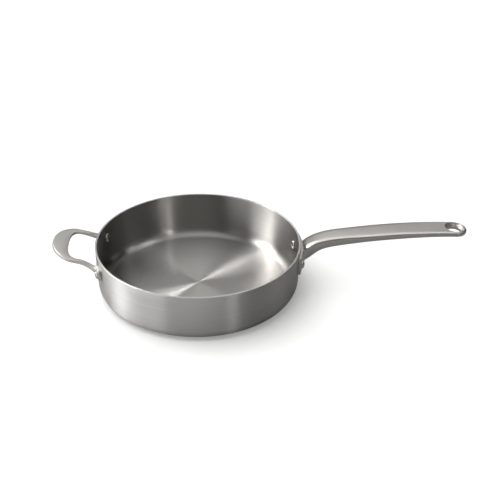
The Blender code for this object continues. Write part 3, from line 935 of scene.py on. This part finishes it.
class SAUTEPAN_OT_helper_handle(bpy.types.Operator):
    """Build the cast helper handle with its two feet"""

    bl_idname = "saute_pan.helper_handle"
    bl_label = "Helper Handle"

    def execute(self, context):
        scene = context.scene
        finishes = scene.pan_finishes
        obj = helper_loop(scene)
        carve(obj, "UNION", helper_foot(scene, 1), helper_foot(scene, -1))
        carve(obj, "DIFFERENCE", seat_form(scene), *shank_cutters(scene, "helper"))
        # Tumbled with stones, so the sheen is softer and the marks run no one way
        tumbled = satin_steel(
            "tumbled_cast_steel", finishes.cast_colour, finishes.helper_roughness, grain=0.0005, depth=0.00002
        )
        wear(obj, tumbled)
        obj.visible_shadow = HANDLES_CAST_SHADOW
        belong(obj, "helper_handle")
        return {"FINISHED"}


class SAUTEPAN_OT_rivets(bpy.types.Operator):
    """Build the four solid rivets"""

    bl_idname = "saute_pan.rivets"
    bl_label = "Rivets"

    def execute(self, context):
        scene = context.scene
        finishes = scene.pan_finishes
        # Pressed in a polished die, so each head shows a small clear glint
        pressed = satin_steel(
            "pressed_rivet_steel", finishes.bright_colour, finishes.rivet_roughness,
            grain=0.0006, depth=0.00001,
        )
        for node, azimuth, height, plate in rivet_places(scene):
            place = on_wall(scene.pan_body_sizes, azimuth, height) @ ALONG_X
            obj = turned(f"{node}_fine", rivet_rows(scene, plate, height), RIVET_SEGMENTS, place)
            wear(obj, pressed)
            belong(obj, node)
        return {"FINISHED"}


# Stage

# The camera's view, as fitted to the rim, the base and the ends of the handles in the photograph: it aims
# at the pan's axis at this height, from this far away, and is then turned off that aim
AIM_HEIGHT, CAMERA_DISTANCE = 0.0664416, 1.2
TILT, SWING, NOD, ROLL = (math.radians(value) for value in (30.33707, 3.24246, -0.63465, -0.97216))


def add_camera(settings):
    """Camera at the photograph's viewing angle."""
    data = bpy.data.cameras.new("camera")
    obj = bpy.data.objects.new("camera", data)
    bpy.context.scene.collection.objects.link(obj)
    data.lens, data.sensor_width, data.sensor_fit, data.clip_start = settings.lens, 36, "HORIZONTAL", 0.01
    aim = Matrix.Translation((0, 0, AIM_HEIGHT)) @ Matrix.Rotation(math.pi / 2 - TILT, 4, "X")
    aim = aim @ Matrix.Translation((0, 0, CAMERA_DISTANCE)) @ Matrix.Rotation(-SWING, 4, "Y")
    obj.matrix_world = aim @ Matrix.Rotation(NOD, 4, "X") @ Matrix.Rotation(ROLL, 4, "Z")
    bpy.context.scene.camera = obj


def shows_to(tree, *kinds):
    """1 for the kinds of ray named, such as camera rays, and otherwise 0."""
    path = add_node(tree, "LightPath")
    total = path[kinds[0]]
    for kind in kinds[1:]:
        total = add_node(tree, "Math", {0: total, 1: path[kind]}, operation="MAXIMUM")[0]
    return total


def white_world(settings):
    """White background for the camera, metal and glass, and an even soft light for the rest."""
    world = bpy.data.worlds.new("studio")
    bpy.context.scene.world = world
    world.use_nodes = True
    tree = world.node_tree
    tree.nodes.clear()
    seen = shows_to(tree, "Is Camera Ray", "Is Glossy Ray", "Is Transmission Ray")
    level = add_node(tree, "Mix", {0: seen, 2: settings.fill_level, 3: 1.0})[0]
    light = add_node(tree, "Background", {"Color": (1, 1, 1, 1), "Strength": level})[0]
    add_node(tree, "OutputWorld", {0: light})


# Side on which the painted glow lies on the floor that the steel mirrors, and how far out it starts and is
# full, in metres
GLOW_SIDE = (-0.6, -0.8, 0.0)
GLOW_FROM, GLOW_TO = 0.02, 0.42


def matt_floor(settings):
    """Matt white floor that keeps the pan's shadow. The steel mirrors a darker copy, painted shade, with a
    painted glow.
    """
    material, tree, shader, place = new_material("matt_white_floor")
    material.cycles.emission_sampling = "NONE"
    shader.inputs["Base Color"].default_value = (*settings.floor_colour, 1)
    shader.inputs["Roughness"].default_value = 1.0
    shader.inputs["Specular IOR Level"].default_value = 0.0
    seen = shows_to(tree, "Is Camera Ray", "Is Transmission Ray")
    lift = add_node(tree, "Math", {0: seen, 1: settings.floor_lift}, operation="MULTIPLY")[0]
    white = add_node(tree, "Emission", {"Strength": lift})[0]
    # Painted shade: the steel sees a darker grey copy of the floor
    in_metal = add_node(tree, "BsdfDiffuse", {"Color": (*settings.floor_in_metal, 1)})[0]
    # Painted light: a glow on the floor by the window's side, which the camera doesn't see
    outwards = add_node(tree, "VectorMath", {0: place, 1: GLOW_SIDE}, operation="DOT_PRODUCT")["Value"]
    limits = {1: GLOW_FROM, 2: GLOW_TO, 3: 0.0, 4: settings.painted_window_glow}
    glow = add_node(tree, "MapRange", {0: outwards, **limits}, interpolation_type="SMOOTHSTEP")[0]
    glow = add_node(tree, "Emission", {"Strength": glow})[0]
    in_metal = add_node(tree, "AddShader", {0: in_metal, 1: glow})[0]
    matt = add_node(tree, "MixShader", {0: seen, 1: in_metal, 2: shader.outputs[0]})[0]
    mixed = add_node(tree, "AddShader", {0: matt, 1: white})[0]
    tree.links.new(mixed, tree.nodes["Material Output"].inputs["Surface"])
    return material


def compass(azimuth, elevation):
    """Direction towards a place round the pan. Azimuth 0 is the camera's side and 90 the long handle's."""
    round_by, rise = math.radians(azimuth), math.radians(elevation)
    return Vector((math.cos(rise) * math.sin(round_by), -math.cos(rise) * math.cos(round_by), math.sin(rise)))


# Panels of the reflection tent: azimuth, elevation, full radius, faded radius (degrees), brightness. 13 are
# set one by one and 6 go back to a fit, so that the streaks fall where the photograph has them
TENT_PANELS = (
    (-142, 5, 4, 18, 1.0),
    (-118, 5, 4, 18, 2.0),
    (-94, 5, 4, 18, 2.6),
    (-72, 5, 4, 18, 3.0),
    (-48, 5, 4, 20, 2.8),
    (-138, 42, 5, 16, 4.0),
    (-116, 42, 3, 9, 14.0),
    (-101, 37, 3, 6.5, 58.0),
    (-90, 42, 3, 8, 18.0),
    (0, 88, 6, 36, 1.15),
    (180, 56, 4, 34, 1.05),
    (180, 25, 4, 22, 0.35),
    (150, 20, 4, 16, 0.8),
    (118, 62, 3, 9, 4.0),
    (106, 45, 3, 8, 3.0),
    (0, 40, 5, 35, 0.12),
    (35, 22, 1, 3, 13.0),
    (35, 28, 1, 3, 13.0),
    (35, 34, 1, 3, 13.0),
)
# A lit gap between the cloths, from the floor up: azimuth, full and faded half width (degrees), the sine of
# the elevation at which it ends, and brightness
TENT_GAPS = ((96, 0.6, 2.4, 0.7, 0.4),)


def tent_cloth():
    """Cloth of the reflection tent: black, with lit panels that only the steel mirrors."""
    material = bpy.data.materials.new("tent_cloth")
    material.use_nodes = True
    material.cycles.emission_sampling = "NONE"
    tree = material.node_tree
    tree.nodes.clear()
    place = add_node(tree, "TexCoord")["Object"]
    facing = add_node(tree, "VectorMath", {0: place}, operation="NORMALIZE")[0]
    level = add_node(tree, "VectorMath", {0: place, 1: (1, 1, 0)}, operation="MULTIPLY")[0]
    level = add_node(tree, "VectorMath", {0: level}, operation="NORMALIZE")[0]
    rise = add_node(tree, "SeparateXYZ", {0: facing})["Z"]

    def patch(looking, middle, full, faded, strength):
        closeness = add_node(tree, "VectorMath", {0: looking, 1: middle}, operation="DOT_PRODUCT")["Value"]
        limits = {1: math.cos(math.radians(faded)), 2: math.cos(math.radians(full)), 3: 0.0, 4: strength}
        return add_node(tree, "MapRange", {0: closeness, **limits}, interpolation_type="SMOOTHSTEP")[0]

    total = 0.0
    for azimuth, elevation, full, faded, strength in TENT_PANELS:
        panel = patch(facing, compass(azimuth, elevation), full, faded, strength)
        total = add_node(tree, "Math", {0: total, 1: panel}, operation="ADD")[0]
    for azimuth, full, faded, top, strength in TENT_GAPS:
        gap = patch(level, compass(azimuth, 0), full, faded, strength)
        below = add_node(tree, "MapRange", {0: rise, 1: top, 2: top - 0.2, 3: 0.0, 4: 1.0})[0]
        total = add_node(tree, "Math", {0: gap, 1: below, 2: total}, operation="MULTIPLY_ADD")[0]
    glow = add_node(tree, "Emission", {"Strength": total})[0]
    add_node(tree, "OutputMaterial", {0: glow})
    return material


def add_lamp(name, strength, azimuth, elevation, spread):
    """A broad soft lamp, far away in one direction. Metal mirrors the tent instead of it."""
    lamp = bpy.data.lights.new(name, "SUN")
    lamp.energy, lamp.angle = strength, math.radians(spread)
    obj = bpy.data.objects.new(name, lamp)
    bpy.context.scene.collection.objects.link(obj)
    obj.rotation_euler = compass(azimuth, elevation).to_track_quat("Z", "Y").to_euler()
    obj.visible_glossy = False


# The floor's width, how far it lies below the base so that the two don't meet, and the tent's radius
FLOOR_WIDTH, FLOOR_DROP, TENT_RADIUS = 12, 0.0002, 3


class SAUTEPAN_OT_stage(bpy.types.Operator):
    """Build the floor, the reflection tent, the lights and the camera"""

    bl_idname = "saute_pan.stage"
    bl_label = "Stage"

    def execute(self, context):
        settings = context.scene.pan_stage
        context.scene.view_settings.view_transform = "Standard"
        add_camera(settings)
        white_world(settings)
        deselect()
        bpy.ops.mesh.primitive_plane_add(size=FLOOR_WIDTH, location=(0, 0, -FLOOR_DROP))
        floor = context.object
        floor.name = "floor"
        wear(floor, matt_floor(settings))
        deselect()
        bpy.ops.mesh.primitive_uv_sphere_add(segments=64, ring_count=32, radius=TENT_RADIUS)
        tent = context.object
        tent.name = "reflection_tent"
        wear(tent, tent_cloth())
        tent.visible_camera = tent.visible_diffuse = tent.visible_shadow = False
        tent.visible_transmission = tent.visible_volume_scatter = False
        add_lamp("window_light", settings.window_power, azimuth=-108, elevation=66, spread=60)
        add_lamp("roof_light", settings.roof_power, azimuth=0, elevation=90, spread=80)
        return {"FINISHED"}


class SAUTEPAN_PT_panel(bpy.types.Panel):
    """Panel that lists the pieces and their settings"""

    bl_label = "Saute Pan"
    bl_space_type = "VIEW_3D"
    bl_region_type = "UI"
    bl_category = "Saute Pan"

    def draw(self, context):
        for operator in OPERATORS:
            self.layout.operator(operator.bl_idname)
        for name, group in SIZE_GROUPS.items():
            box = self.layout.box()
            box.label(text=group.__doc__.strip("."))
            for setting in group.__annotations__:
                box.prop(getattr(context.scene, name), setting, text=setting.replace("_", " ").capitalize())


OPERATORS = (
    SAUTEPAN_OT_body,
    SAUTEPAN_OT_long_handle,
    SAUTEPAN_OT_helper_handle,
    SAUTEPAN_OT_rivets,
    SAUTEPAN_OT_stage,
)
CLASSES = (*SIZE_GROUPS.values(), *OPERATORS, SAUTEPAN_PT_panel)


def register():
    for one in CLASSES:
        bpy.utils.register_class(one)
    for name, group in SIZE_GROUPS.items():
        setattr(bpy.types.Scene, name, PointerProperty(type=group))


def unregister():
    for name in SIZE_GROUPS:
        delattr(bpy.types.Scene, name)
    for one in reversed(CLASSES):
        bpy.utils.unregister_class(one)


def main():
    """Build everything in order."""
    register()
    bpy.ops.saute_pan.stage()
    bpy.ops.saute_pan.body()
    bpy.ops.saute_pan.long_handle()
    bpy.ops.saute_pan.helper_handle()
    bpy.ops.saute_pan.rivets()


if __name__ == "__main__":
    main()
